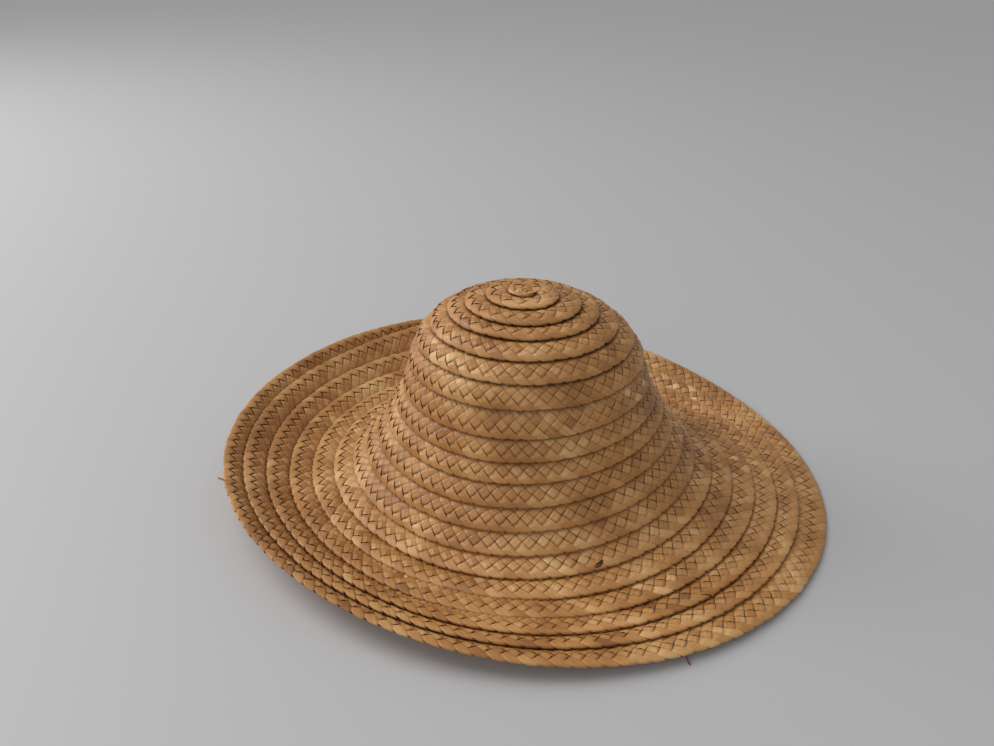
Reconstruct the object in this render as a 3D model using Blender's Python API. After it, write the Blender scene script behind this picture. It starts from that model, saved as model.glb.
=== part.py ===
"""Wide-brimmed straw sun hat, sewn round and round from one flat plait.

The plait starts at the centre of the crown and winds outward, clockwise from above.
Each round laps over the next one out, so both faces of the hat are stepped along a spiral.
The hat rests on its brim, with its crown upward. Metres, +Z up, +X to the viewer's right.
"""

import math

import bpy
import numpy as np

# Driving sizes, in metres.
BRIM_LENGTH = 0.430
BRIM_WIDTH = 0.394
CROWN_HEIGHT = 0.1412
PLAIT_WIDTH = 0.0215
PLAIT_LAP = 0.0063
PLAIT_THICKNESS = 0.0016
CROWN_LEAN = 0.0057
REST_PRESS = 0.0016
PIECE_GAP = 0.0003

# Counts and shares.
COLUMNS = 48
CROWN_SHARE = 0.667
RIM_OVERRUN = 0.56
START_TURN = 0.5
SAMPLES = 400

# Section from the crown's centre out to the rim.
# Columns: share of the way out along the surface, slope below level in degrees.
SECTION = (
    (0.00, 0.0),
    (0.09, 18.5),
    (0.18, 29.0),
    (0.27, 52.8),
    (0.36, 77.0),
    (0.45, 67.5),
    (0.54, 60.1),
    (0.64, 53.1),
    (0.73, 16.7),
    (0.82, -1.2),
    (0.91, -19.5),
    (1.00, -11.7),
)

# Waves of the brim. A rim wave grows toward the edge, and a ring wave moves the whole brim.
# Columns: where, waves in a turn, rise as a share of the crown's height, direction of its top
# in degrees from +X.
WAVES = (
    ("rim", 1, 0.173, 157.0),
    ("rim", 2, 0.057, 88.0),
    ("rim", 3, 0.017, -23.0),
    ("ring", 1, 0.062, -18.0),
    ("ring", 2, 0.036, -5.0),
)
# Uneven laps. Columns: turn of the lap line, how far out it is sewn as a share of a round.
LAP_SHIFTS = (
    (2.5, 0.10),
    (3.5, -0.11),
    (5.5, -0.11),
    (6.5, -0.06),
    (7.5, 0.19),
    (8.5, 0.16),
    (9.5, 0.04),
    (13.5, -0.03),
    (18.5, 0.00),
)
RIM_WAVE_START = 0.34
RIM_WAVE_POWER = 3.9
RING_WAVE_START = 0.20
RING_WAVE_END = 0.75

# Material per piece: name, colour (linear), roughness.
STRAW_COLOUR = (0.35, 0.16, 0.045)
STRAW_ROUGHNESS = 0.55


def clear_scene():
    for obj in list(bpy.data.objects):
        bpy.data.objects.remove(obj, do_unlink=True)


def smooth(share):
    """0 below 0, 1 above 1, and an even curve between."""
    share = np.clip(share, 0.0, 1.0)
    return share * share * (3.0 - 2.0 * share)


class HatForm:
    """The smooth form that the plait is sewn to: arc length and turn in, point and normal out."""

    def __init__(self):
        shares, slopes = np.array(SECTION).T
        way = np.linspace(0.0, 1.0, SAMPLES)
        slope = np.radians(self.curve(shares, slopes, way))
        step = way[1] - way[0]
        across = np.cos((slope[1:] + slope[:-1]) / 2) * step
        down = np.sin((slope[1:] + slope[:-1]) / 2) * step
        across = np.concatenate([[0.0], np.cumsum(across)])
        down = np.concatenate([[0.0], np.cumsum(down)])
        mean_radius = (BRIM_LENGTH + BRIM_WIDTH) / 4
        self.oval = (BRIM_LENGTH - BRIM_WIDTH) / (BRIM_LENGTH + BRIM_WIDTH)
        self.radius = across * mean_radius / across[-1]
        self.height = CROWN_HEIGHT - down * CROWN_HEIGHT / down.max()
        steps = np.hypot(np.diff(self.radius), np.diff(self.height))
        self.arc = np.concatenate([[0.0], np.cumsum(steps)])
        self.length = self.arc[-1]

    @staticmethod
    def curve(shares, slopes, way):
        """A smooth line through the section's rows, without overshoot at its turning points."""
        gaps = np.diff(shares)
        rises = np.diff(slopes) / gaps
        ends = np.zeros(len(shares))
        for i in range(1, len(shares) - 1):
            if rises[i - 1] * rises[i] > 0:
                ends[i] = 2 * rises[i - 1] * rises[i] / (rises[i - 1] + rises[i])
        ends[0] = rises[0]
        ends[-1] = rises[-1]
        cell = np.clip(np.searchsorted(shares, way, side="right") - 1, 0, len(gaps) - 1)
        t = (way - shares[cell]) / gaps[cell]
        return (
            slopes[cell] * (1 + 2 * t) * (1 - t) ** 2
            + slopes[cell + 1] * t * t * (3 - 2 * t)
            + gaps[cell] * ends[cell] * t * (1 - t) ** 2
            - gaps[cell] * ends[cell + 1] * t * t * (1 - t)
        )

    def point(self, arc, angle):
        radius = np.interp(arc, self.arc, self.radius)
        height = np.interp(arc, self.arc, self.height)
        way = arc / self.length
        rim = np.clip((way - RIM_WAVE_START) / (1 - RIM_WAVE_START), 0, None) ** RIM_WAVE_POWER
        ring = smooth((way - RING_WAVE_START) / (RING_WAVE_END - RING_WAVE_START))
        rise = np.zeros_like(arc)
        for where, count, share, top in WAVES:
            grown = rim if where == "rim" else ring
            rise = rise + grown * share * CROWN_HEIGHT * np.cos(count * (angle - math.radians(top)))
        stretch = 1 + self.oval * np.cos(2 * angle)
        x = radius * np.cos(angle) * stretch - CROWN_LEAN * height / CROWN_HEIGHT
        y = radius * np.sin(angle) * stretch
        return np.stack([x, y, height + rise], axis=-1)

    def offset(self, arc, angle, out):
        """A point at a distance out from the form, along its normal."""
        reach = PLAIT_THICKNESS
        inner = np.clip(arc, reach, self.length - reach)
        along = self.point(inner + reach, angle) - self.point(inner - reach, angle)
        turn = reach / np.maximum(np.interp(inner, self.arc, self.radius), reach)
        around = self.point(inner, angle + turn) - self.point(inner, angle - turn)
        normal = np.cross(along, around)
        normal /= np.linalg.norm(normal, axis=-1, keepdims=True)
        return self.point(arc, angle) + normal * np.asarray(out)[..., None]


class Spiral:
    """The lap lines: turn 0 is the crown's centre, and whole turns are at the hat's back."""

    def __init__(self, form):
        self.form = form
        nominal = PLAIT_WIDTH - PLAIT_LAP
        self.rounds = round(form.length / nominal - RIM_OVERRUN)
        self.pitch = form.length / (self.rounds + RIM_OVERRUN)
        self.crown_rounds = round(self.rounds * CROWN_SHARE)

    def angle(self, turn):
        return math.pi / 2 - 2 * math.pi * turn

    def arc(self, turn):
        """Distance out along the form. The last line eases into the round rim at the back."""
        plain = self.pitch * (turn + np.interp(turn, *np.array(LAP_SHIFTS).T))
        eased = smooth((turn - self.rounds + 0.15) / 0.15)
        return np.minimum(plain + (self.form.length - plain) * eased, self.form.length)

    def place(self, turn, tuck, out):
        """Points on the lap lines, moved inward by a tuck and outward from the form."""
        return self.form.offset(self.arc(turn) - tuck, self.angle(turn), out)


class Shell:
    """One closed solid of plait rounds, from a first turn to a last turn of lap lines."""

    def __init__(self, spiral, first, last):
        self.spiral = spiral
        self.first = round(first * COLUMNS)
        self.last = round(last * COLUMNS)
        self.points = []
        self.faces = []
        self.index = {}

    def add_lines(self, kind, start, end, tuck, out):
        """Names one vertex for each column of a run of lap lines."""
        turns = np.arange(start, end + 1) / COLUMNS
        places = self.spiral.place(turns, np.broadcast_to(tuck, turns.shape), out)
        for column, place in zip(range(start, end + 1), places):
            self.index[kind, column] = len(self.points)
            self.points.append(place)

    def merge(self, kind, column, other, other_column):
        self.index[kind, column] = self.index[other, other_column]

    def face(self, *corners):
        """Adds a face by its corners, named clockwise as seen from outside."""
        loop = [self.index[corner] for corner in reversed(corners)]
        loop = [here for i, here in enumerate(loop) if here != loop[i - 1]]
        if len(loop) > 2:
            self.faces.append(loop)

    def add_rounds(self, first_step):
        """The outer strips and steps, and the same on the underside."""
        n = COLUMNS
        for g in range(self.first, self.last):
            self.face(("low", g), ("top", g + n), ("top", g + n + 1), ("low", g + 1))
            self.face(("under", g), ("under", g + 1), ("edge", g + n + 1), ("edge", g + n))
        for g in range(first_step, self.last):
            self.face(("top", g), ("low", g), ("low", g + 1), ("top", g + 1))
            self.face(("edge", g), ("edge", g + 1), ("under", g + 1), ("under", g))

    def add_inner_edge(self):
        """The first round's hidden strip, the plait's inner edge there, and its cut start."""
        n = COLUMNS
        a = self.first
        self.merge("hidden", a + n, "edge", a + n)
        for g in range(a, a + n):
            self.face(("hidden", g), ("low", g), ("low", g + 1), ("hidden", g + 1))
            self.face(("hidden", g), ("hidden", g + 1), ("under", g + 1), ("under", g))
        self.face(
            ("hidden", a), ("under", a), ("edge", a + n), ("low", a + n), ("top", a + n), ("low", a)
        )

    def add_free_edge(self):
        """The last round's uncovered strip, its free edge, and the plait's cut end."""
        n = COLUMNS
        b = self.last
        self.merge("brink", b, "low", b)
        for g in range(b, b + n):
            self.face(("top", g), ("brink", g), ("brink", g + 1), ("top", g + 1))
            self.face(("edge", g), ("edge", g + 1), ("brink", g + 1), ("brink", g))
        self.face(
            ("low", b), ("top", b + n), ("brink", b + n), ("edge", b + n), ("under", b), ("edge", b)
        )

    def add_rim(self):
        """The round rim."""
        for g in range(self.last, self.last + COLUMNS):
            self.face(("top", g), ("edge", g), ("edge", g + 1), ("top", g + 1))

    def build(self, name, rest_height, centre):
        """The object, set down on the surface and pressed flat where it touches."""
        used = sorted({corner for loop in self.faces for corner in loop})
        renumber = {old: new for new, old in enumerate(used)}
        points = np.array(self.points)[used] - centre
        under = {self.index[key] for key in self.index if key[0] in ("under", "edge")}
        for new, old in enumerate(used):
            floor = rest_height if old in under else rest_height + 0.8 * PLAIT_THICKNESS
            points[new, 2] = max(points[new, 2], floor) - rest_height
        mesh = bpy.data.meshes.new(name)
        faces = [[renumber[corner] for corner in loop] for loop in self.faces]
        mesh.from_pydata([tuple(point) for point in points], [], faces)
        mesh.update()
        mesh.shade_smooth()
        mesh.set_sharp_from_angle(angle=math.radians(35))
        obj = bpy.data.objects.new(name, mesh)
        bpy.context.scene.collection.objects.link(obj)
        return obj


def plait_offsets():
    """Heights of a round's two faces at its lapped and free edges, out from the form."""
    lap = PLAIT_LAP / PLAIT_WIDTH
    middle = -(1 + lap) / 2
    return {
        "top": (middle + 1) * PLAIT_THICKNESS,
        "low": (middle + lap) * PLAIT_THICKNESS,
        "seam": middle * PLAIT_THICKNESS,
        "edge": (middle - lap) * PLAIT_THICKNESS,
        "under": (middle - 1) * PLAIT_THICKNESS,
    }


def crown_shell(spiral):
    """The crown: closed at its centre, and its last round is free to lap over the brim."""
    n = COLUMNS
    level = plait_offsets()
    shell = Shell(spiral, START_TURN, spiral.crown_rounds)
    a = shell.first
    b = shell.last
    grown = smooth((np.arange(a, b + n + 1) - a) / (0.3 * n))
    upper = (level["top"] + level["low"]) / 2
    lower = (level["edge"] + level["under"]) / 2
    starts = grown[: b - a + 1]
    shell.add_lines("low", a, b, 0.0, upper + (level["low"] - upper) * starts)
    shell.add_lines("under", a, b, PLAIT_LAP * starts, lower + (level["under"] - lower) * starts)
    shell.add_lines("top", a, b + n, 0.0, upper + (level["top"] - upper) * grown)
    shell.add_lines("edge", a, b + n, PLAIT_LAP * grown, lower + (level["edge"] - lower) * grown)
    shell.add_lines("brink", b, b + n, 0.0, np.full(n + 1, level["seam"]))
    shell.merge("low", a, "top", a)
    shell.merge("under", a, "edge", a)
    for kind, out in (("tip", upper), ("pit", lower)):
        shell.index[kind, 0] = len(shell.points)
        shell.points.append(spiral.form.offset(np.array(0.0), np.array(0.0), out))
    shell.add_rounds(a)
    for g in range(a, a + n - 1):
        shell.face(("tip", 0), ("top", g), ("top", g + 1))
        shell.face(("pit", 0), ("edge", g + 1), ("edge", g))
    shell.face(("tip", 0), ("top", a + n - 1), ("top", a + n), ("top", a))
    shell.face(("edge", a), ("edge", a + n), ("edge", a + n - 1), ("pit", 0))
    shell.add_free_edge()
    return shell


def brim_shell(spiral):
    """The brim: its first round is tucked under the crown, and its last is the round rim."""
    n = COLUMNS
    level = plait_offsets()
    shell = Shell(spiral, spiral.crown_rounds, spiral.rounds)
    a = shell.first
    b = shell.last
    lines = np.arange(a, b + n + 1)
    drop = np.where(lines <= a + n, 2 * PIECE_GAP, 0.0)
    shown = 1 - smooth((lines - b + 0.3 * n) / (0.3 * n))
    low = level["top"] + (level["low"] - level["top"]) * shown
    low = np.where(lines <= a + n, level["seam"], low)
    under = level["seam"] + (level["under"] - level["seam"]) * shown
    edge = level["seam"] + (level["edge"] - level["seam"]) * shown
    tuck = PLAIT_LAP * shown
    starts = slice(0, b - a + 1)
    ends = slice(n, b - a + n)
    shell.add_lines("low", a, b, 0.0, (low - drop)[starts])
    shell.add_lines("under", a, b, tuck[starts], (under - drop)[starts])
    shell.add_lines("top", a + n, b + n - 1, 0.0, np.full(b - a, level["top"]))
    shell.add_lines("edge", a + n, b + n - 1, tuck[ends], (edge - drop)[ends])
    shell.add_lines("hidden", a, a + n - 1, PLAIT_LAP, np.full(n, level["edge"]) - drop[:n])
    shell.merge("top", b + n, "top", b)
    shell.merge("edge", b + n, "edge", b)
    shell.merge("low", b, "top", b)
    shell.merge("under", b, "edge", b)
    shell.add_rounds(a + n)
    shell.add_inner_edge()
    shell.add_rim()
    return shell


def part_cut(shell):
    """Draws the brim's cut start back from the crown's cut end by the gap between pieces."""
    n = COLUMNS
    a = shell.first
    for kind, column in (("low", a), ("under", a), ("top", a + n), ("edge", a + n)):
        here = shell.index[kind, column]
        ahead = shell.points[shell.index[kind, column + 1]] - shell.points[here]
        shell.points[here] = shell.points[here] + ahead * (PIECE_GAP / np.linalg.norm(ahead))


def straw_material(name):
    material = bpy.data.materials.new(name)
    material.use_nodes = True
    shader = material.node_tree.nodes["Principled BSDF"]
    shader.inputs["Base Color"].default_value = (*STRAW_COLOUR, 1.0)
    shader.inputs["Roughness"].default_value = STRAW_ROUGHNESS
    shader.inputs["Metallic"].default_value = 0.0
    return material


def main():
    clear_scene()
    spiral = Spiral(HatForm())
    crown = crown_shell(spiral)
    brim = brim_shell(spiral)
    part_cut(brim)
    reach = np.array(brim.points)
    centre = (reach.min(axis=0) + reach.max(axis=0)) / 2
    centre[2] = 0.0
    rest_height = reach[:, 2].min() + REST_PRESS
    for shell, name in ((crown, "crown"), (brim, "brim")):
        obj = shell.build(name, rest_height, centre)
        obj.data.materials.append(straw_material(name + "_straw"))


main()
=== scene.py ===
"""Wide-brimmed straw sun hat, woven strand by strand and sewn round and round.

A flat plait of five palm strands winds out from the crown's centre, clockwise from above, and
each round laps over the next one out. A guide strip says where every place of the plait lies on
the hat. One strand's zigzag is modelled flat, repeated along the plait, and wrapped on the guide.
Metres, +Z up, +X to the viewer's right.
"""

import math

import bpy
import numpy as np
from mathutils import Matrix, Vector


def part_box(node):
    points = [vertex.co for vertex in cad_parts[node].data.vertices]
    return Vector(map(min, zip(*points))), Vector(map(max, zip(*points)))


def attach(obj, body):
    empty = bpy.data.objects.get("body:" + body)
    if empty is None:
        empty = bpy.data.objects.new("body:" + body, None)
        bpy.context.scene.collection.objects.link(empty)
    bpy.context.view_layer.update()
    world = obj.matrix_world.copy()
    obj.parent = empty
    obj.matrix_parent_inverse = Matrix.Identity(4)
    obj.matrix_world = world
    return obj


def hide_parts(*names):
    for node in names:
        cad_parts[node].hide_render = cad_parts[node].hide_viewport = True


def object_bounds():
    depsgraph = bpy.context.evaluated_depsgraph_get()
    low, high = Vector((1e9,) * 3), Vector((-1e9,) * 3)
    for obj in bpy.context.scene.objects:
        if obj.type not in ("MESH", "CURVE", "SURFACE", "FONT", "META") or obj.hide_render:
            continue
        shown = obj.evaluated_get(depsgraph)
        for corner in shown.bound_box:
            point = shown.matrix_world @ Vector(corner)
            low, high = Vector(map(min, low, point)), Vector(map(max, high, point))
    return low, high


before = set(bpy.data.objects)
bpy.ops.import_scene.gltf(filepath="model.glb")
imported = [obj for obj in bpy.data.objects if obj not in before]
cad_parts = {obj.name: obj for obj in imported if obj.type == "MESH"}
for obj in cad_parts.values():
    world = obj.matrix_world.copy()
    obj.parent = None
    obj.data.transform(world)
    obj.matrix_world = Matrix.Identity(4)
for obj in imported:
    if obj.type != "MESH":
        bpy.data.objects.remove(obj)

bl_info = {
    "name": "Sewn Straw Hat",
    "version": (1, 0, 0),
    "blender": (4, 5, 0),
    "location": "View3D > Sidebar > Straw Hat",
    "description": "Weaves a five-strand plait and sews it into a wide-brimmed sun hat",
    "category": "Add Mesh",
}

BODY = "root"
CROWN_NODE = "crown"
BRIM_NODE = "brim"
CAD_LOW, CAD_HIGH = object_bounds()
MM = 0.001

# Section from the crown's centre out to the rim.
# Columns: share of the way out along the surface, slope below level in degrees.
SECTION = (
    (0.00, 0.0),
    (0.09, 18.5),
    (0.18, 29.0),
    (0.27, 52.8),
    (0.36, 77.0),
    (0.45, 67.5),
    (0.54, 60.1),
    (0.64, 53.1),
    (0.73, 16.7),
    (0.82, -1.2),
    (0.91, -19.5),
    (1.00, -11.7),
)

# Waves of the brim. A rim wave grows toward the edge, and a ring wave moves the whole brim.
# Columns: where, waves in a turn, rise as a share of the crown's height, direction of its top
# in degrees from +X.
WAVES = (
    ("rim", 1, 0.173, 157.0),
    ("rim", 2, 0.057, 88.0),
    ("rim", 3, 0.017, -23.0),
    ("ring", 1, 0.062, -18.0),
    ("ring", 2, 0.036, -5.0),
)
# Shares of the way out where a rim wave starts, and where a ring wave starts and is full.
RIM_WAVE_START = 0.34
RIM_WAVE_POWER = 3.9
RING_WAVE_START = 0.20
RING_WAVE_END = 0.75

# Uneven laps. Columns: turn of the lap line, how far out it is sewn as a share of a round.
LAP_SHIFTS = (
    (2.5, 0.10),
    (3.5, -0.11),
    (5.5, -0.11),
    (6.5, -0.06),
    (7.5, 0.19),
    (8.5, 0.16),
    (9.5, 0.04),
    (13.5, -0.03),
    (18.5, 0.00),
)
# Turn where the plait starts.
PLAIT_START = 0.02
# The form ends this part of a round past the last whole turn of the plait, and the plait's edge
# eases onto the rim over this part of a turn before it.
RIM_OVERRUN = 0.56
RIM_EASE = 0.15
# The first rounds are pulled flat, up to this turn.
FLAT_TURNS = 2.5

# Direction of the oval's longer way in degrees, and how far the woven dome has settled below the
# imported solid's top.
OVAL_TURN = -7.0
DOME_SETTLE = 2.0 * MM

# How finely the section, the rim and the plait's course are worked out.
FORM_SAMPLES = 400
RIM_SAMPLES = 720
COURSE_SAMPLES = 12000

# One strand: points from one crossing to the next, how much wider it gets where it is folded, how
# much flatter its waves are in the sewn-down half, and the depth of a scallop at the plait's edge.
STRAND_STEPS = 6
FOLD_SPREAD = 0.10
SEWN_PRESS = 0.35
SCALLOP = 0.7 * MM
# Ring round a strand: edge, two shoulders on one face, edge, and two on the other, as shares of
# its width and of half its thickness.
RING_SIDES = np.array([-0.5, -0.3, 0.3, 0.5, 0.3, -0.3])
RING_FACES = np.array([0, 1, 1, 0, -1, -1])

# Ends that came loose, and under the curled one a dark sheet of painted shadow. Columns: name,
# turn, width in mm, how blunt, how much painted shade, and a path whose points hold the way along
# the round toward the viewer's right at the front, the way in from the outer edge and the height
# over the plait's middle, in mm.
STRAW_ENDS = (
    # The first row is a sheet of painted shadow under the curled end, not a straw.
    ("broken", 13.443, 3.4, 2, 1.0, ((-4, 1.6, 0.7), (-1, 2.4, 0.9), (2, 3.6, 0.9), (4, 5.0, 0.7))),
    ("curled", 13.443, 1.6, 2, 0.0, ((-5, 2.0, 0.8), (-1, 4.2, 1.5), (2, 5.4, 1.7), (4, 6.4, 0.9))),
    ("rim", 18.701, 2.2, 6, 0.1, ((0.5, 5, 0.9), (0.3, 1.5, 1.0), (0, -2, 0.8), (-0.4, -4.5, 0.4))),
    ("splice", 16.390, 2.6, 6, 0.0, ((-6, 5, 0.8), (-3, 3.4, 1.3), (0, 1.2, 1.3), (1, -0.6, 0.7))),
)
THREAD_END = (18.428, ((0, 3, -1.0), (0.3, 0, -1.6), (0.7, -2.2, -4.0), (1.2, -4.0, -6.5)))
THREAD_THICKNESS = 0.8 * MM

# Pieces of plait: name, CAD node, record slot, first and last turn.
PLAIT_PIECES = (
    ("crown_plait_top", CROWN_NODE, "crown_straw", PLAIT_START, 8.0),
    ("crown_plait_side", CROWN_NODE, "crown_straw", 8.0, 12.0),
    ("brim_plait_inner", BRIM_NODE, "brim_straw", 12.0, 15.0),
    ("brim_plait_middle", BRIM_NODE, "brim_straw", 15.0, 17.2),
    ("brim_plait_outer", BRIM_NODE, "brim_straw", 17.2, 19.0),
)

# Sizes in the straw's looks. Its fibres are 0.3 mm apart, and drawn wider so that they show.
FIBRE_LENGTH = 20 * MM
FIBRE_GAP = 0.7 * MM
PATCH_SIZE = 30 * MM
OPEN_WEAVE_SIZE = 12 * MM

FLOOR_SIZE = 12.0
SKY_STRENGTH = 0.40
# Lights, all aimed at the origin. Columns: name, kind, energy, width in metres or for the sun its
# spread in degrees, and place.
LIGHTS = (
    ("bright_cloud", "SUN", 0.80, 45.0, (-1.1, 0.4, 2.0)),
    ("sky_left", "AREA", 20.0, 1.1, (-1.7, 0.5, 1.1)),
    ("sky_front", "AREA", 8.0, 1.6, (-0.8, -1.9, 1.2)),
)
# The photo's camera: sensor and lens in mm, place, slope below level and roll in degrees.
CAMERA_SENSOR = 36.0
CAMERA_LENS = 31.24
CAMERA_PLACE = (-0.0226, -0.5260, 0.3752)
CAMERA_SLOPE = 29.366
CAMERA_ROLL = 1.9


def linear(hex_colour):
    """An sRGB hex colour as linear red, green and blue."""
    parts = [int(hex_colour[i : i + 2], 16) / 255 for i in (1, 3, 5)]
    return tuple(c / 12.92 if c <= 0.04045 else ((c + 0.055) / 1.055) ** 2.4 for c in parts)


def smooth(share):
    """0 below 0, 1 above 1, and an even curve between."""
    share = np.clip(share, 0.0, 1.0)
    return share * share * (3.0 - 2.0 * share)


class HatSizes(bpy.types.PropertyGroup):
    """Sizes of the hat and of the plait it is sewn from"""

    brim_length: bpy.props.FloatProperty(
        name="Brim Length", description="Longer way across the brim", default=0.430, unit="LENGTH"
    )
    brim_width: bpy.props.FloatProperty(
        name="Brim Width", description="Shorter way across the brim", default=0.394, unit="LENGTH"
    )
    crown_height: bpy.props.FloatProperty(
        name="Crown Height",
        description="Crown's top above the lowest part of the brim",
        default=0.1392,
        unit="LENGTH",
    )
    crown_lean: bpy.props.FloatProperty(
        name="Crown Lean", description="Crown's top to the left", default=0.0042, unit="LENGTH"
    )
    plait_width: bpy.props.FloatProperty(
        name="Plait Width", description="Whole width of the plait", default=0.0215, unit="LENGTH"
    )
    plait_lap: bpy.props.FloatProperty(
        name="Plait Lap",
        description="Part of each round that the round before it covers",
        default=0.0063,
        unit="LENGTH",
    )
    layer: bpy.props.FloatProperty(
        name="Layer", description="Room that one layer of plait has", default=0.0021, unit="LENGTH"
    )
    row_arch: bpy.props.FloatProperty(
        name="Row Arch",
        description="How far the middle of each row stands out between its lap lines",
        default=0.0020,
        unit="LENGTH",
    )


class StrandSizes(bpy.types.PropertyGroup):
    """Sizes of the strands and the evenness of the weave"""

    strands: bpy.props.IntProperty(
        name="Strands", description="Strands in the plait", default=5, min=3
    )
    thickness: bpy.props.FloatProperty(
        name="Thickness", description="Middle of a strand", default=0.00060, unit="LENGTH"
    )
    wave: bpy.props.FloatProperty(
        name="Wave",
        description="Rise of a strand over the next, from the plait's middle",
        default=0.00072,
        unit="LENGTH",
    )
    snugness: bpy.props.FloatProperty(
        name="Snugness",
        description="Strand width as a share of the room it has",
        default=0.955,
        subtype="FACTOR",
    )
    wobble: bpy.props.FloatProperty(
        name="Wobble", description="Unevenness of the weave", default=0.0014, unit="LENGTH"
    )
    seed: bpy.props.IntProperty(name="Seed", description="Choice of uneven strands", default=4)


class StrawLook(bpy.types.PropertyGroup):
    """Colours of the straw, the thread and the floor"""

    pale: bpy.props.FloatVectorProperty(
        name="Pale Straw",
        description="Lightest strands",
        subtype="COLOR",
        default=linear("#E2B67C"),
    )
    honey: bpy.props.FloatVectorProperty(
        name="Honey Straw",
        description="Most strands",
        subtype="COLOR",
        default=linear("#BB844A"),
    )
    russet: bpy.props.FloatVectorProperty(
        name="Russet Straw",
        description="Darkest strands",
        subtype="COLOR",
        default=linear("#8F5D31"),
    )
    # Painted shade, with some dirt at the strand edges: the colour of the edges, of the parts that
    # dive under other strands, and of the straw just under each lap edge.
    slit_dirt_and_shade: bpy.props.FloatVectorProperty(
        name="Slits",
        description="Strand edges and the sunk parts between strands",
        subtype="COLOR",
        default=linear("#331A08"),
    )
    thread: bpy.props.FloatVectorProperty(
        name="Thread", description="Sewing thread", subtype="COLOR", default=linear("#7A2028")
    )
    floor: bpy.props.FloatVectorProperty(
        name="Floor", description="Pale floor", subtype="COLOR", default=linear("#BEBDBD")
    )


class HatForm:
    """The smooth form that the plait is sewn to: arc length and angle in, point and normal out."""

    def __init__(self, sizes):
        shares, slopes = np.array(SECTION).T
        way = np.linspace(0.0, 1.0, FORM_SAMPLES)
        slope = np.radians(self.curve(shares, slopes, way))
        step = way[1] - way[0]
        across = np.cos((slope[1:] + slope[:-1]) / 2) * step
        down = np.sin((slope[1:] + slope[:-1]) / 2) * step
        across = np.concatenate([[0.0], np.cumsum(across)])
        down = np.concatenate([[0.0], np.cumsum(down)])
        self.sizes = sizes
        mean_radius = (sizes.brim_length + sizes.brim_width) / 4
        self.oval = (sizes.brim_length - sizes.brim_width) / (4 * mean_radius)
        self.radius = across * mean_radius / across[-1]
        self.height = sizes.crown_height * (1 - down / down.max())
        steps = np.hypot(np.diff(self.radius), np.diff(self.height))
        self.arc = np.concatenate([[0.0], np.cumsum(steps)])
        self.length = self.arc[-1]
        self.shift = np.zeros(3)
        self.seat()

    @staticmethod
    def curve(shares, slopes, way):
        """A smooth line through the section's rows, without overshoot at its turning points."""
        gaps = np.diff(shares)
        rises = np.diff(slopes) / gaps
        ends = np.zeros(len(shares))
        for i in range(1, len(shares) - 1):
            if rises[i - 1] * rises[i] > 0:
                ends[i] = 2 * rises[i - 1] * rises[i] / (rises[i - 1] + rises[i])
        ends[0] = rises[0]
        ends[-1] = rises[-1]
        cell = np.clip(np.searchsorted(shares, way, side="right") - 1, 0, len(gaps) - 1)
        t = (way - shares[cell]) / gaps[cell]
        return (
            slopes[cell] * (1 + 2 * t) * (1 - t) ** 2
            + slopes[cell + 1] * t * t * (3 - 2 * t)
            + gaps[cell] * ends[cell] * t * (1 - t) ** 2
            - gaps[cell] * ends[cell + 1] * t * t * (1 - t)
        )

    def seat(self):
        """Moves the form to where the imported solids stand, by the rim's middle and the top."""
        angles = np.linspace(0.0, 2 * math.pi, RIM_SAMPLES)
        rim = self.point(np.full(angles.shape, self.length), angles)
        middle = (rim.min(axis=0) + rim.max(axis=0)) / 2
        target = (np.array(CAD_LOW) + np.array(CAD_HIGH)) / 2
        self.shift = target - middle
        self.shift[2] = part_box(CROWN_NODE)[1].z - DOME_SETTLE - self.sizes.crown_height

    def point(self, arc, angle):
        """Point of the form at an arc length from the crown's centre and an angle from +X."""
        radius = np.interp(arc, self.arc, self.radius)
        height = np.interp(arc, self.arc, self.height)
        way = arc / self.length
        rim = np.clip((way - RIM_WAVE_START) / (1 - RIM_WAVE_START), 0, None) ** RIM_WAVE_POWER
        ring = smooth((way - RING_WAVE_START) / (RING_WAVE_END - RING_WAVE_START))
        rise = np.zeros_like(arc)
        for where, count, share, top in WAVES:
            grown = rim if where == "rim" else ring
            turned = count * (angle - math.radians(top))
            rise = rise + grown * share * self.sizes.crown_height * np.cos(turned)
        stretch = 1 + self.oval * np.cos(2 * (angle - math.radians(OVAL_TURN)))
        lean = self.sizes.crown_lean * height / self.sizes.crown_height
        x = radius * np.cos(angle) * stretch - lean
        y = radius * np.sin(angle) * stretch
        return np.stack([x, y, height + rise], axis=-1) + self.shift

    def place(self, arc, angle):
        """Point and outward unit normal. Past the rim the surface runs straight on.

        The slopes are taken over twice the room of a layer, 4 mm or so.
        """
        reach = self.sizes.layer
        inner = np.clip(arc, reach, self.length - reach)
        along = self.point(inner + reach, angle) - self.point(inner - reach, angle)
        turn = reach / np.maximum(np.interp(inner, self.arc, self.radius), reach)
        around = self.point(inner, angle + turn) - self.point(inner, angle - turn)
        normal = np.cross(along, around)
        normal /= np.linalg.norm(normal, axis=-1, keepdims=True)
        along /= np.linalg.norm(along, axis=-1, keepdims=True)
        return self.point(inner, angle) + along * (arc - inner)[..., None], normal


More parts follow.
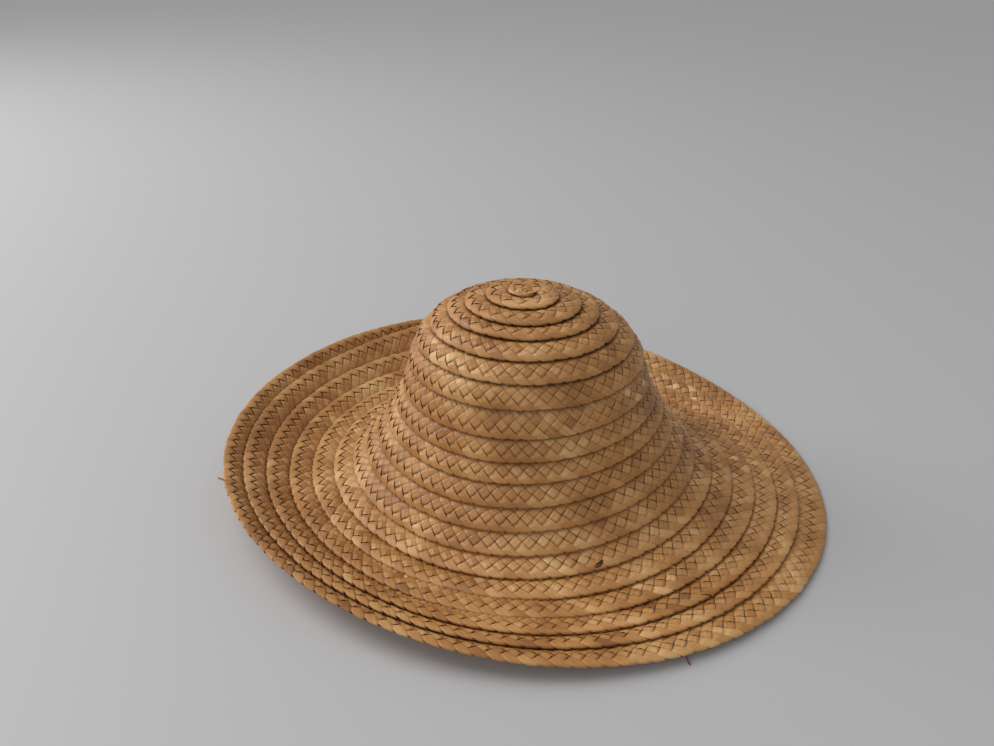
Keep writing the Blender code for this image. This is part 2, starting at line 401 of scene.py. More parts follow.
class Plait:
    """The plait's course: lap lines by turn, and the length along its middle.

    EDGE_SPARE is the guide's room past the plait's edges, and OUTER_EDGE_RISE says where the outer
    edge lies over the form, in layers.
    """

    EDGE_SPARE = 1.5 * MM
    OUTER_EDGE_RISE = -0.20

    def __init__(self, sizes, strands):
        self.sizes = sizes
        self.form = HatForm(sizes)
        nominal = sizes.plait_width - sizes.plait_lap
        self.rounds = round(self.form.length / nominal - RIM_OVERRUN)
        self.pitch = self.form.length / (self.rounds + RIM_OVERRUN)
        self.chevron = 2 * sizes.plait_width / strands.strands
        self.turns = np.linspace(PLAIT_START, self.rounds + 1, COURSE_SAMPLES)
        middle = self.on_hat(self.turns, np.full(self.turns.shape, sizes.plait_width / 2))[0]
        steps = np.linalg.norm(np.diff(middle, axis=0), axis=1)
        self.run = np.concatenate([[0.0], np.cumsum(steps)])
        self.length = self.run[-1]

    def lap_line(self, turn):
        """Distance out along the form of the plait's outer edge."""
        plain = self.pitch * (turn + np.interp(turn, *np.array(LAP_SHIFTS).T))
        eased = smooth((turn - self.rounds + RIM_EASE) / RIM_EASE)
        line = np.minimum(plain + (self.form.length - plain) * eased, self.form.length)
        return np.where(turn < PLAIT_START, 0.0, line)

    def on_hat(self, turn, across):
        """Middle of the plait's thickness, outward normal and share of the way to the lap."""
        # The part of a round past the lap line before it is shown, and the rest is tucked in.
        edge = self.lap_line(turn)
        shown = edge - self.lap_line(turn - 1)
        tucked = self.sizes.plait_lap / 2
        width = np.minimum(np.maximum(self.sizes.plait_width, shown + tucked), edge)
        inward = across * width / self.sizes.plait_width
        angle = math.pi / 2 - 2 * math.pi * turn
        place, normal = self.form.place(np.maximum(edge - inward, 0.0), angle)
        # From its outer edge in to the lap a round sinks by a layer. Where hardly any of it is
        # shown, all of it lies a layer down.
        layer = self.sizes.layer
        covered = 1 - smooth(shown / (0.5 * self.pitch))
        share = inward / np.maximum(shown, 0.1 * self.pitch)
        lapped = 1 + (inward - shown) / self.pitch
        drop = np.where(share < 1, np.minimum(covered + (1 - covered) * share, 1.0), lapped)
        arch = np.sin(math.pi * np.clip(share, 0, 1)) ** 0.65 * (1 - covered)
        arch = arch * smooth(turn / FLAT_TURNS)
        rise = layer * (self.OUTER_EDGE_RISE - drop) + self.sizes.row_arch * arch
        place = place + normal * rise[..., None]
        # The lowest places rest on the floor.
        place[..., 2] = np.maximum(place[..., 2], 0.5 * layer)
        return place, normal, share

    def flat_x(self, turn):
        """Flat length coordinate: 0 at the rim's end, and growing toward the crown's centre."""
        return self.length - np.interp(turn, self.turns, self.run)

    def turn_at(self, x):
        """Turn of the plait at a flat length coordinate."""
        return np.interp(self.length - x, self.run, self.turns)


def mesh_object(name, points, faces):
    """A new object in the scene, from an array of points and a list of faces."""
    mesh = bpy.data.meshes.new(name)
    mesh.from_pydata(points.tolist(), [], faces)
    mesh.update()
    obj = bpy.data.objects.new(name, mesh)
    bpy.context.scene.collection.objects.link(obj)
    return obj


def guide_strip(plait, first, last):
    """A flat strip that carries, at each place of the plait, where it lies on the hat."""
    spare = 6 * plait.chevron
    low = max(plait.flat_x(last) - spare, 0.0)
    high = min(plait.flat_x(first) + spare, plait.length)
    columns = np.linspace(low, high, int((high - low) / (plait.chevron / 4)) + 2)
    edge = plait.EDGE_SPARE
    rows = np.linspace(-edge, plait.sizes.plait_width + edge, 11)
    x, across = np.meshgrid(columns, rows, indexing="ij")
    place, out, lap = plait.on_hat(plait.turn_at(x), across)
    flat = np.stack([x, across, np.zeros_like(x)], axis=-1).reshape(-1, 3)
    corner = np.arange(len(columns) - 1)[:, None] * len(rows) + np.arange(len(rows) - 1)
    corner = corner.reshape(-1)
    faces = np.stack([corner, corner + len(rows), corner + len(rows) + 1, corner + 1], axis=1)
    guide = mesh_object("guide", flat, faces.tolist())
    for name, value in (("place", place), ("out", out)):
        attribute = guide.data.attributes.new(name, "FLOAT_VECTOR", "POINT")
        attribute.data.foreach_set("vector", value.reshape(-1).astype(np.float32))
    attribute = guide.data.attributes.new("lap", "FLOAT", "POINT")
    attribute.data.foreach_set("value", lap.reshape(-1).astype(np.float32))
    return guide


def tube_faces(rings, ring):
    """Faces of a closed tube of so many rings, each of so many points."""
    faces = []
    for i in range(rings - 1):
        for j in range(ring):
            k = (j + 1) % ring
            faces.append((i * ring + j, (i + 1) * ring + j, (i + 1) * ring + k, i * ring + k))
    faces.append(tuple(range(ring)))
    faces.append(tuple((rings - 1) * ring + j for j in reversed(range(ring))))
    return faces


def store_uv(mesh, spots):
    """Stores the way along and across the strand, in metres, as the mesh's UV map."""
    layer = mesh.uv_layers.new(name="strand")
    corners = np.array([loop.vertex_index for loop in mesh.loops])
    layer.data.foreach_set("uv", spots.reshape(-1, 2)[corners].reshape(-1).astype(np.float32))


def strand_zigzag(plait, strands):
    """One strand from edge to edge and back, flat: it goes over one and under one.

    Unfolded at the plait's edges, a strand is a straight band. Its place along the band is `way`,
    0 at the outer fold. `side` goes across the band from -0.5 to 0.5.
    """
    pitch = plait.chevron
    width = plait.sizes.plait_width
    bend = strands.wave * 1.2
    arc = bend * math.pi / 2
    steps = STRAND_STEPS
    count = round(width / pitch * steps)
    ways = [k * pitch / steps for k in range(-count - steps // 2, 2 * steps + 1)]
    ways = [way for way in ways if min(abs(way), abs(way + width)) > arc]
    for fold in (-width, 0.0):
        ways += [fold + arc * share for share in (-1.0, -0.5, 0.0, 0.5, 1.0)]
    ways = np.array(sorted(ways))[:, None]
    side = RING_SIDES[None, :] * strands.snugness
    face = RING_FACES[None, :]
    fold = np.where(np.abs(ways) < np.abs(ways + width), 0.0, -width)
    square = np.clip((np.abs(ways - fold) - arc) / (pitch / 2), 0.0, 1.0)
    # A strand spreads where it is folded, and closes the gap to the next fold.
    side = side * (1 + FOLD_SPREAD * np.exp(-(((ways - fold) / (0.6 * pitch)) ** 2)))
    way = ways - square * side * pitch / 2
    x = way + side * pitch
    phase = (2 * way + side * pitch) / pitch
    # On the leg that comes in over the outer edge, the strand is over at the odd crossings.
    period = 2 * width / pitch
    before = way < -width
    inbound = (way >= -width) & (way < 0)
    phase = np.where(before, phase + 2 * period, phase)
    last = strands.strands - 1
    out_leg = np.where(phase < 1, -1.0, np.where(phase > last, 1.0, np.cos(np.pi * phase)))
    in_leg = np.where(phase > -1, 1.0, np.where(phase < -last, -1.0, -np.cos(np.pi * phase)))
    over = np.where(inbound, in_leg, out_leg)
    # The hidden dip is longer than the shown rise.
    over = np.clip(1.45 * over - 0.45, -1.0, 1.0)
    bent = np.clip((way - fold + arc) / (2 * arc), 0.0, 1.0) * np.pi
    leg = np.abs(np.where(before, way + 2 * width, way))
    across = bend + (leg - arc) / (width - 2 * arc) * (width - 2 * bend)
    in_bend = np.abs(way - fold) <= arc
    turned = np.where(fold == 0.0, bend * (1 - np.sin(bent)), width - bend * (1 - np.sin(bent)))
    across = np.where(in_bend, turned, across)
    # The sewn-down inner half lies flatter than the free outer half.
    inner = smooth((across / width - 0.26) / 0.14)
    loose = 1 - SEWN_PRESS * smooth((across / width - 0.40) / 0.16)
    height = np.where(in_bend, strands.wave * np.cos(bent), strands.wave * over) * loose
    # Rounded corners at the folds give the plait its scalloped edges.
    scallop = SCALLOP * (2 * side) ** 2 * np.exp(-(((way - fold) / (pitch / 3)) ** 2))
    across = across + np.where(fold == 0.0, scallop, -scallop)
    up = np.where(inbound, 1.0, -1.0)
    normal_z = np.where(in_bend, np.where(fold == 0.0, 1, -1) * np.cos(bent), up)
    normal_y = np.where(in_bend, -np.sin(bent), 0.0)
    half = strands.thickness / 2 * face
    points = np.stack([x, across + half * normal_y, height + half * normal_z], axis=-1)
    rings, ring = points.shape[:2]
    strand = mesh_object("strand", points.reshape(-1, 3), tube_faces(rings, ring))
    mesh = strand.data
    # Masks for painted shade: the faces that dive under another strand, and the strand's thin edges.
    facing = np.where(face == 0, 1.0, face * normal_z)
    sunk = np.clip(-over * facing, 0.0, 1.0) * loose
    rim = (face == 0) * loose
    for name, value in (("sunk", sunk), ("rim", rim), ("inner", inner)):
        attribute = mesh.attributes.new(name, "FLOAT", "POINT")
        attribute.data.foreach_set("value", value.reshape(-1).astype(np.float32))
    store_uv(mesh, np.stack([way, side * pitch + 0 * way], axis=-1))
    # The strand's two thin sides, points 0 and 3 of each ring, stay crisp.
    sharp = mesh.attributes.new("sharp_edge", "BOOLEAN", "EDGE")
    keys = np.array([edge.vertices[:] for edge in mesh.edges])
    place = keys % ring
    along = (place[:, 0] == place[:, 1]) & np.isin(place[:, 0], (0, 3))
    sharp.data.foreach_set("value", along)
    return strand


def add_node(tree, kind, inputs=None, **settings):
    """Adds a node with its settings, and fills its inputs with values or other nodes' outputs."""
    node = tree.nodes.new(kind)
    for name, value in settings.items():
        setattr(node, name, value)
    for key, value in (inputs or {}).items():
        if isinstance(value, bpy.types.NodeSocket):
            tree.links.new(value, node.inputs[key])
        else:
            node.inputs[key].default_value = value
    return node


def geometry_tree(name, sockets):
    """A Geometry Nodes tree with a guide strip coming in, named inputs, and a mesh going out."""
    tree = bpy.data.node_groups.new(name, "GeometryNodeTree")
    tree.interface.new_socket("Guide", in_out="INPUT", socket_type="NodeSocketGeometry")
    for label, kind in sockets:
        tree.interface.new_socket(label, in_out="INPUT", socket_type="NodeSocket" + kind)
    tree.interface.new_socket("Mesh", in_out="OUTPUT", socket_type="NodeSocketGeometry")
    return tree, tree.nodes.new("NodeGroupInput").outputs


def wrap_on_guide(tree, flat, guide, wobble, seed):
    """Nodes that lay flat geometry on the hat: length and way across pick a place on the guide."""
    position = add_node(tree, "GeometryNodeInputPosition").outputs["Position"]
    xyz = add_node(tree, "ShaderNodeSeparateXYZ", {0: position}).outputs
    ground = add_node(tree, "ShaderNodeCombineXYZ", {"X": xyz["X"], "Y": xyz["Y"]}).outputs[0]
    seeded = add_node(tree, "ShaderNodeCombineXYZ", {"Z": seed}).outputs[0]
    spot = add_node(tree, "ShaderNodeVectorMath", {0: ground, 1: seeded}, operation="ADD")
    # Bends of the weave are about a strand's width across.
    noise = add_node(
        tree, "ShaderNodeTexNoise", {"Vector": spot.outputs[0], "Scale": 130.0, "Detail": 1.0}
    )
    centred = add_node(
        tree,
        "ShaderNodeVectorMath",
        {0: noise.outputs["Color"], 1: (0.5, 0.5, 0.5)},
        operation="SUBTRACT",
    )
    moved = add_node(
        tree,
        "ShaderNodeVectorMath",
        {0: centred.outputs[0], "Scale": wobble},
        operation="SCALE",
    )
    moved = add_node(tree, "ShaderNodeSeparateXYZ", {0: moved.outputs[0]}).outputs
    flat_shift = add_node(
        tree, "ShaderNodeCombineXYZ", {"X": moved["X"], "Y": moved["Y"]}
    ).outputs[0]
    spot = add_node(tree, "ShaderNodeVectorMath", {0: ground, 1: flat_shift}, operation="ADD")
    found = []
    for name, kind in (("place", "FLOAT_VECTOR"), ("out", "FLOAT_VECTOR"), ("lap", "FLOAT")):
        value = add_node(tree, "GeometryNodeInputNamedAttribute", {"Name": name}, data_type=kind)
        sampled = add_node(
            tree,
            "GeometryNodeSampleNearestSurface",
            {"Mesh": guide, "Value": value.outputs[0], "Sample Position": spot.outputs[0]},
            data_type=kind,
        )
        found.append(sampled.outputs["Value"])
    flat = add_node(
        tree,
        "GeometryNodeStoreNamedAttribute",
        {"Geometry": flat, "Name": "lap", "Value": found[2]},
        data_type="FLOAT",
        domain="POINT",
    ).outputs[0]
    lift = add_node(
        tree, "ShaderNodeMath", {0: moved["Z"], 1: 0.4, 2: xyz["Z"]}, operation="MULTIPLY_ADD"
    )
    raised = add_node(
        tree, "ShaderNodeVectorMath", {0: found[1], "Scale": lift.outputs[0]}, operation="SCALE"
    )
    target = add_node(
        tree, "ShaderNodeVectorMath", {0: found[0], 1: raised.outputs[0]}, operation="ADD"
    )
    return add_node(
        tree, "GeometryNodeSetPosition", {"Geometry": flat, "Position": target.outputs[0]}
    ).outputs[0]


def weave_tree():
    """Repeats a strand along the plait, wraps it on the guide and gives each copy its tone."""
    tree, given = geometry_tree(
        "Plait Weave",
        (
            ("Strand", "Object"),
            ("Start", "Float"),
            ("Chevron", "Float"),
            ("Count", "Int"),
            ("Wobble", "Float"),
            ("Seed", "Int"),
            ("Straw", "Material"),
        ),
    )
    strand = add_node(tree, "GeometryNodeObjectInfo", {"Object": given["Strand"]})
    start = add_node(tree, "ShaderNodeCombineXYZ", {"X": given["Start"]})
    step = add_node(tree, "ShaderNodeCombineXYZ", {"X": given["Chevron"]})
    line = add_node(
        tree,
        "GeometryNodeMeshLine",
        {"Count": given["Count"], "Start Location": start.outputs[0], "Offset": step.outputs[0]},
        mode="OFFSET",
    )
    copies = add_node(
        tree,
        "GeometryNodeInstanceOnPoints",
        {"Points": line.outputs[0], "Instance": strand.outputs["Geometry"]},
    ).outputs[0]
    # Random Value keeps one pair of limits for each kind of number: 2 and 3 are the float's.
    for name, offset in (("tone", 0), ("ripe", 17)):
        seed = add_node(tree, "ShaderNodeMath", {0: given["Seed"], 1: offset}, operation="ADD")
        value = add_node(
            tree,
            "FunctionNodeRandomValue",
            {2: 0.0, 3: 1.0, "Seed": seed.outputs[0]},
            data_type="FLOAT",
        )
        copies = add_node(
            tree,
            "GeometryNodeStoreNamedAttribute",
            {"Geometry": copies, "Name": name, "Value": value.outputs[1]},
            data_type="FLOAT",
            domain="INSTANCE",
        ).outputs[0]
    flat = add_node(tree, "GeometryNodeRealizeInstances", {0: copies}).outputs[0]
    woven = wrap_on_guide(tree, flat, given["Guide"], given["Wobble"], given["Seed"])
    woven = add_node(
        tree, "GeometryNodeSetMaterial", {"Geometry": woven, "Material": given["Straw"]}
    ).outputs[0]
    add_node(tree, "NodeGroupOutput", {0: woven})
    return tree


def run_tree(obj, tree, values):
    """Puts the tree on the object, fills its inputs, and keeps the result as a plain mesh."""
    modifier = obj.modifiers.new(tree.name, "NODES")
    modifier.node_group = tree
    for item in tree.interface.items_tree:
        if item.in_out == "INPUT" and item.name in values:
            modifier[item.identifier] = values[item.name]
    graph = bpy.context.evaluated_depsgraph_get()
    made = bpy.data.meshes.new_from_object(obj.evaluated_get(graph))
    obj.modifiers.remove(modifier)
    old = obj.data
    obj.data = made
    bpy.data.meshes.remove(old)
    return obj


def straw_material(look):
    """Dried palm leaf, split into flat strands. Its waxy skin is slightly glossy, and fine fibres
    run along each strand. Strands dry to tones from pale straw to russet. Their edges are painted
    darker for dirt and shade, the parts that dive under other strands get painted shade, and the
    straw just under each lap edge gets a painted shadow."""
    material = bpy.data.materials.new("split_palm_straw")
    material.use_nodes = True
    tree = material.node_tree
    shader = tree.nodes["Principled BSDF"]
    band = add_node(tree, "ShaderNodeUVMap", uv_map="strand").outputs[0]
    places = add_node(tree, "ShaderNodeTexCoord").outputs["Object"]
    marks = {
        name: add_node(tree, "ShaderNodeAttribute", attribute_name=name).outputs["Fac"]
        for name in ("tone", "ripe", "sunk", "rim", "inner", "lap")
    }
    # Each strand takes its own part of the grain.
    own = add_node(tree, "ShaderNodeCombineXYZ", {"Z": marks["tone"]}).outputs[0]
    band = add_node(
        tree, "ShaderNodeVectorMath", {0: band, 1: own}, operation="ADD"
    ).outputs[0]
    stretch = (1 / FIBRE_LENGTH, 1 / FIBRE_GAP, 40.0)
    stretched = add_node(
        tree, "ShaderNodeMapping", {"Vector": band, "Scale": stretch}
    ).outputs[0]
    fibre = add_node(
        tree, "ShaderNodeTexNoise", {"Vector": stretched, "Scale": 1.0, "Detail": 2.0}
    ).outputs["Fac"]
    # Patches where sun and handling have changed the straw.
    patch = add_node(
        tree, "ShaderNodeTexNoise", {"Vector": places, "Scale": 1 / PATCH_SIZE, "Detail": 2.0}
    ).outputs["Fac"]
    # A few strands in a hundred are much paler or redder than the rest.
    odd = add_node(tree, "ShaderNodeValToRGB", {0: marks["ripe"]})
    for place in (0.04, 0.96):
        odd.color_ramp.elements.new(place).color = (0.5, 0.5, 0.5, 1.0)
    base = 0.0
    for value, share in ((marks["tone"], 0.14), (fibre, 0.32), (patch, 0.54), (odd.outputs[0], 0.34)):
        base = add_node(
            tree, "ShaderNodeMath", {0: value, 1: share, 2: base}, operation="MULTIPLY_ADD"
        ).outputs[0]
    ramp = add_node(tree, "ShaderNodeValToRGB", {0: base})
    stops = ramp.color_ramp.elements
    for stop, place, colour in zip(stops, (0.44, 0.90), (look.russet, look.pale)):
        stop.position = place
        stop.color = (*colour, 1.0)
    stops.new(0.67).color = (*look.honey, 1.0)
    # Painted shade on the parts of a strand that dive under another.
    hidden = add_node(
        tree,
        "ShaderNodeMapRange",
        {"Value": marks["sunk"], "From Min": 0.04, "From Max": 0.45, "To Max": 0.9},
        interpolation_type="SMOOTHSTEP",
    ).outputs[0]
    # The weave is open in some places and tight in others, and its painted shade is deeper where it
    # is open.
    tight = add_node(
        tree,
        "ShaderNodeTexNoise",
        {"Vector": places, "Scale": 1 / OPEN_WEAVE_SIZE, "Detail": 1.0},
    ).outputs["Fac"]
    open_weave = add_node(
        tree,
        "ShaderNodeMapRange",
        {"Value": tight, "From Min": 0.35, "From Max": 0.55, "To Min": 0.4, "To Max": 1.0},
    ).outputs[0]
    hidden = add_node(
        tree, "ShaderNodeMath", {0: hidden, 1: open_weave}, operation="MULTIPLY"
    ).outputs[0]
    # Strand edges are painted darker, for dirt and for the shade beside them.
    edges = add_node(
        tree, "ShaderNodeMath", {0: marks["rim"], 1: 3.0}, operation="POWER"
    ).outputs[0]
    dark = add_node(
        tree,
        "ShaderNodeMath",
        {0: edges, 1: 0.26, 2: hidden},
        operation="MULTIPLY_ADD",
        use_clamp=True,
    ).outputs[0]
    # The painted shade in the gaps is strongest in the outer half of each round on the hat's left,
    # and in the inner half from there to the right.
    xyz = add_node(tree, "ShaderNodeSeparateXYZ", {0: places}).outputs
    right = add_node(
        tree,
        "ShaderNodeMapRange",
        {"Value": xyz["X"], "From Min": -0.07, "From Max": 0.01},
        interpolation_type="SMOOTHSTEP",
    ).outputs[0]
    apart = add_node(
        tree, "ShaderNodeMath", {0: marks["inner"], 1: right}, operation="SUBTRACT"
    ).outputs[0]
    apart = add_node(tree, "ShaderNodeMath", {0: apart}, operation="ABSOLUTE").outputs[0]
    side_shade = add_node(
        tree, "ShaderNodeMapRange", {"Value": apart, "To Min": 1.0, "To Max": 0.25}
    ).outputs[0]
    # On the crown, from 40 to 70 mm up, the painted shade in the gaps is weaker.
    drawn = add_node(
        tree,
        "ShaderNodeMapRange",
        {"Value": xyz["Z"], "From Min": 0.04, "From Max": 0.07, "To Min": 1.0, "To Max": 0.6},
    ).outputs[0]
    for share in (side_shade, drawn):
        dark = add_node(
            tree, "ShaderNodeMath", {0: dark, 1: share}, operation="MULTIPLY"
        ).outputs[0]
    # Painted shadow just under each lap edge, where the straw goes in under the round above it,
    # deepest on the crown.
    lap_shadow_depth = add_node(
        tree,
        "ShaderNodeMapRange",
        {"Value": xyz["Z"], "From Min": 0.02, "From Max": 0.07, "To Min": 0.12, "To Max": 0.68},
    ).outputs[0]
    tucked = add_node(
        tree,
        "ShaderNodeMapRange",
        {"Value": marks["lap"], "From Min": 0.84, "From Max": 1.0, "To Max": lap_shadow_depth},
        interpolation_type="SMOOTHSTEP",
    ).outputs[0]
    dark = add_node(
        tree, "ShaderNodeMath", {0: dark, 1: tucked}, operation="MAXIMUM"
    ).outputs[0]
    # Mixes in the colour of painted shade and dirt.
    colour = add_node(
        tree,
        "ShaderNodeMix",
        {0: dark, 6: ramp.outputs["Color"], 7: (*look.slit_dirt_and_shade, 1.0)},
        data_type="RGBA",
    ).outputs[2]
    gloss = add_node(
        tree, "ShaderNodeMapRange", {"Value": fibre, "To Min": 0.32, "To Max": 0.52}
    ).outputs[0]
    relief = add_node(
        tree, "ShaderNodeBump", {"Height": fibre, "Strength": 0.35, "Distance": 0.0002}
    ).outputs[0]
    tree.links.new(colour, shader.inputs["Base Color"])
    tree.links.new(gloss, shader.inputs["Roughness"])
    tree.links.new(relief, shader.inputs["Normal"])
    shader.inputs["IOR"].default_value = 1.46
    shader.inputs["Specular IOR Level"].default_value = 0.5
    return material


def thread_material(look):
    """Spun cotton, dyed maroon: matt, with a little fuzz that catches light at its edges."""
    material = bpy.data.materials.new("maroon_cotton")
    material.use_nodes = True
    shader = material.node_tree.nodes["Principled BSDF"]
    shader.inputs["Base Color"].default_value = (*look.thread, 1.0)
    shader.inputs["Roughness"].default_value = 0.85
    shader.inputs["Sheen Weight"].default_value = 0.3
    return material


def floor_material(look):
    """Painted board: matt and pale, with hardly any grain."""
    material = bpy.data.materials.new("matt_paint")
    material.use_nodes = True
    shader = material.node_tree.nodes["Principled BSDF"]
    shader.inputs["Base Color"].default_value = (*look.floor, 1.0)
    shader.inputs["Roughness"].default_value = 0.6
    return material


def weave_pieces(node):
    """Weaves the pieces of plait that stand for one CAD node."""
    scene = bpy.context.scene
    strands = scene.hat_strands
    plait = Plait(scene.hat_sizes, strands)
    strand = strand_zigzag(plait, strands)
    straw = bpy.data.materials.get("split_palm_straw") or straw_material(scene.hat_look)
    tree = bpy.data.node_groups.get("Plait Weave") or weave_tree()
    for name, stands_for, slot, first, last in PLAIT_PIECES:
        if stands_for != node:
            continue
        start = math.ceil(max(plait.flat_x(last), 3 * plait.chevron) / plait.chevron)
        # The weave is closed only where strands from both sides meet, so it starts a width early.
        early = plait.sizes.plait_width if first <= PLAIT_START else 0.0
        end = math.ceil((plait.flat_x(first) + early) / plait.chevron)
        piece = guide_strip(plait, first, last)
        values = {
            "Strand": strand,
            "Start": start * plait.chevron,
            "Chevron": plait.chevron,
            "Count": end - start,
            "Wobble": strands.wobble,
            "Seed": strands.seed + round(first),
            "Straw": straw,
        }
        run_tree(piece, tree, values)
        piece.name = name
        piece.data.name = name
        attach(piece, BODY)
        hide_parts(node)
    bpy.data.objects.remove(strand, do_unlink=True)


def rounded(points):
    """The same path with its corners cut three times over."""
    points = np.array(points, dtype=float)
    for _ in range(3):
        before, after = points[:-1], points[1:]
        inner = np.stack([0.75 * before + 0.25 * after, 0.25 * before + 0.75 * after], axis=1)
        points = np.concatenate([points[:1], inner.reshape(-1, 3), points[-1:]])
    return points


def ribbon(name, centres, ups, width, thickness, blunt, dark, material):
    """A flat strand or a thread along a path, thin at its ends and its sides."""
    tangent = np.gradient(centres, axis=0)
    tangent /= np.linalg.norm(tangent, axis=1, keepdims=True)
    sideways = np.cross(ups, tangent)
    sideways /= np.linalg.norm(sideways, axis=1, keepdims=True)
    ups = np.cross(tangent, sideways)
    side, face = RING_SIDES, RING_FACES
    share = np.linspace(0.0, 1.0, len(centres))
    taper = np.clip(blunt * np.minimum(share, 1 - share) + 0.04 * blunt, 0, 1)[:, None, None]
    spread = side[None, :, None] * width * sideways[:, None]
    depth = face[None, :, None] * thickness / 2 * ups[:, None]
    points = centres[:, None] + (spread + depth) * taper
    rings, ring = points.shape[:2]
    strand = mesh_object(name, points.reshape(-1, 3), tube_faces(rings, ring))
    mesh = strand.data
    # The painted shade comes in as sunk: a dark ribbon is drawn in the colour of painted shade.
    marks = {"sunk": dark, "rim": (face == 0) * 1.0, "inner": 1.0, "tone": 0.4, "ripe": 0.5}
    for mark, value in marks.items():
        value = np.broadcast_to(value, (rings, ring)).reshape(-1).astype(np.float32)
        mesh.attributes.new(mark, "FLOAT", "POINT").data.foreach_set("value", value)
    steps = np.linalg.norm(np.diff(centres, axis=0), axis=1)
    run = np.concatenate([[0.0], np.cumsum(steps)])[:, None]
    store_uv(mesh, np.stack([run + 0 * side, side * width + 0 * run], axis=-1))
    mesh.shade_smooth()
    mesh.materials.append(material)
    return strand


def join(name, parts):
    """Joins plain mesh objects into one."""
    with bpy.context.temp_override(
        active_object=parts[0], selected_objects=parts, selected_editable_objects=parts
    ):
        bpy.ops.object.join()
    parts[0].name = name
    parts[0].data.name = name
    return parts[0]


def loose_path(plait, turn, path):
    """Points and normals of a path given along and across the plait in millimetres."""
    along, across, lift = (rounded(path) * MM).T
    turns = plait.turn_at(plait.flat_x(turn) + along)
    place, out, _ = plait.on_hat(turns, across)
    place = place + out * lift[:, None]
    place[:, 2] = np.maximum(place[:, 2], 0.5 * MM)
    return place, out


class STRAWHAT_OT_crown_plait(bpy.types.Operator):
    """Weave the crown's rounds of plait, from the centre down to the brim"""

    bl_idname = "strawhat.crown_plait"
    bl_label = "Crown Plait"

    def execute(self, context):
        weave_pieces(CROWN_NODE)
        return {"FINISHED"}


class STRAWHAT_OT_brim_plait(bpy.types.Operator):
    """Weave the brim's rounds of plait, out to the rim"""

    bl_idname = "strawhat.brim_plait"
    bl_label = "Brim Plait"

    def execute(self, context):
        weave_pieces(BRIM_NODE)
        return {"FINISHED"}


class STRAWHAT_OT_loose_ends(bpy.types.Operator):
    """Add the straw ends that came loose, a sheet of painted shadow under the curled one, and the end
    of the sewing thread
    """

    bl_idname = "strawhat.loose_ends"
    bl_label = "Loose Ends"

    def execute(self, context):
        scene = context.scene
        strands = scene.hat_strands
        plait = Plait(scene.hat_sizes, strands)
        straw = bpy.data.materials.get("split_palm_straw") or straw_material(scene.hat_look)
        ends = []
        for name, turn, width, blunt, dark, path in STRAW_ENDS:
            centres, out = loose_path(plait, turn, path)
            thick = strands.thickness
            ends.append(ribbon(name, centres, out, width * MM, thick, blunt, dark, straw))
        ends = join("loose_straw_ends", ends)
        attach(ends, BODY)
        turn, path = THREAD_END
        centres, out = loose_path(plait, turn, path)
        thread = thread_material(scene.hat_look)
        thick = THREAD_THICKNESS
        thread_end = ribbon("sewing_thread_end", centres, out, thick, thick, 6, 0.0, thread)
        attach(thread_end, BODY)
        return {"FINISHED"}


class STRAWHAT_OT_stage(bpy.types.Operator):
    """Set up the floor, the light and the camera"""

    bl_idname = "strawhat.stage"
    bl_label = "Stage"

    def execute(self, context):
        scene = context.scene
        half = FLOOR_SIZE / 2
        corners = np.array([(-half, -half, 0), (half, -half, 0), (half, half, 0), (-half, half, 0)])
        floor = mesh_object("floor", corners, [(0, 1, 2, 3)])
        floor.data.materials.append(floor_material(scene.hat_look))
        add_lights(scene)
        add_camera(scene)
        return {"FINISHED"}


def add_lights(scene):
    """An overcast sky, brightest high on the left, with wide soft light from left and front."""
    world = bpy.data.worlds.new("overcast_sky")
    world.use_nodes = True
    sky = world.node_tree.nodes["Background"]
    sky.inputs["Color"].default_value = (*linear("#EDEFF1"), 1.0)
    sky.inputs["Strength"].default_value = SKY_STRENGTH
    scene.world = world
    for name, kind, energy, spread, place in LIGHTS:
        light = bpy.data.lights.new(name, kind)
        light.energy = energy
        if kind == "SUN":
            light.angle = math.radians(spread)
        else:
            light.size = spread
        obj = bpy.data.objects.new(name, light)
        obj.location = place
        aim = -obj.location.normalized()
        obj.rotation_euler = aim.to_track_quat("-Z", "Y").to_euler()
        scene.collection.objects.link(obj)


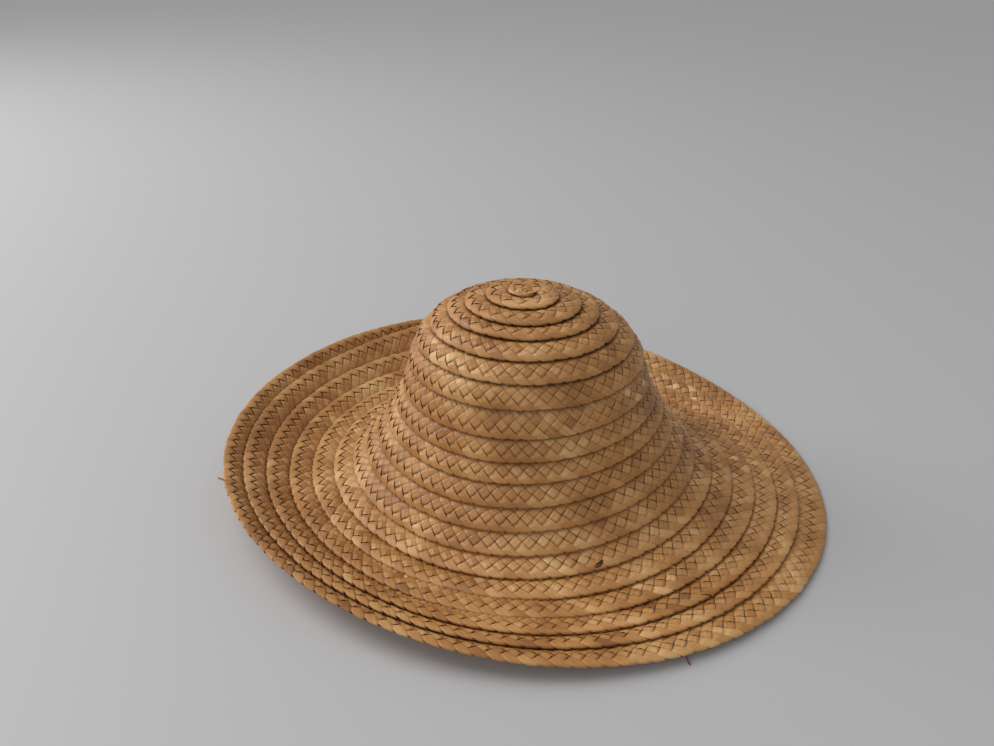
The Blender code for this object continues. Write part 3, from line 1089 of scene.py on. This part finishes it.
def add_camera(scene):
    """The photo's camera, which looks down on the hat from the front and is tilted a little."""
    camera = bpy.data.cameras.new("camera")
    camera.sensor_width = CAMERA_SENSOR
    camera.lens = CAMERA_LENS
    camera.clip_start = 10 * MM
    obj = bpy.data.objects.new("camera", camera)
    look_down = Matrix.Rotation(math.radians(90.0 - CAMERA_SLOPE), 4, "X")
    roll = Matrix.Rotation(math.radians(CAMERA_ROLL), 4, "Z")
    obj.matrix_world = Matrix.Translation(CAMERA_PLACE) @ look_down @ roll
    scene.collection.objects.link(obj)
    scene.camera = obj
    scene.view_settings.view_transform = "Standard"


class STRAWHAT_PT_pieces(bpy.types.Panel):
    """Sizes, colours and pieces of the straw hat"""

    bl_idname = "STRAWHAT_PT_pieces"
    bl_label = "Straw Hat"
    bl_space_type = "VIEW_3D"
    bl_region_type = "UI"
    bl_category = "Straw Hat"

    def draw(self, context):
        for group in (context.scene.hat_sizes, context.scene.hat_strands, context.scene.hat_look):
            box = self.layout.box()
            for name in group.__annotations__:
                box.prop(group, name)
        for operator in OPERATORS:
            self.layout.operator(operator.bl_idname)


OPERATORS = (
    STRAWHAT_OT_crown_plait,
    STRAWHAT_OT_brim_plait,
    STRAWHAT_OT_loose_ends,
    STRAWHAT_OT_stage,
)
GROUPS = {"hat_sizes": HatSizes, "hat_strands": StrandSizes, "hat_look": StrawLook}


def register():
    for name, group in GROUPS.items():
        bpy.utils.register_class(group)
        setattr(bpy.types.Scene, name, bpy.props.PointerProperty(type=group))
    for item in (*OPERATORS, STRAWHAT_PT_pieces):
        bpy.utils.register_class(item)


def unregister():
    for item in (STRAWHAT_PT_pieces, *reversed(OPERATORS)):
        bpy.utils.unregister_class(item)
    for name, group in GROUPS.items():
        delattr(bpy.types.Scene, name)
        bpy.utils.unregister_class(group)


def main():
    register()
    bpy.ops.strawhat.crown_plait()
    bpy.ops.strawhat.brim_plait()
    bpy.ops.strawhat.loose_ends()
    bpy.ops.strawhat.stage()


if __name__ == "__main__":
    main()
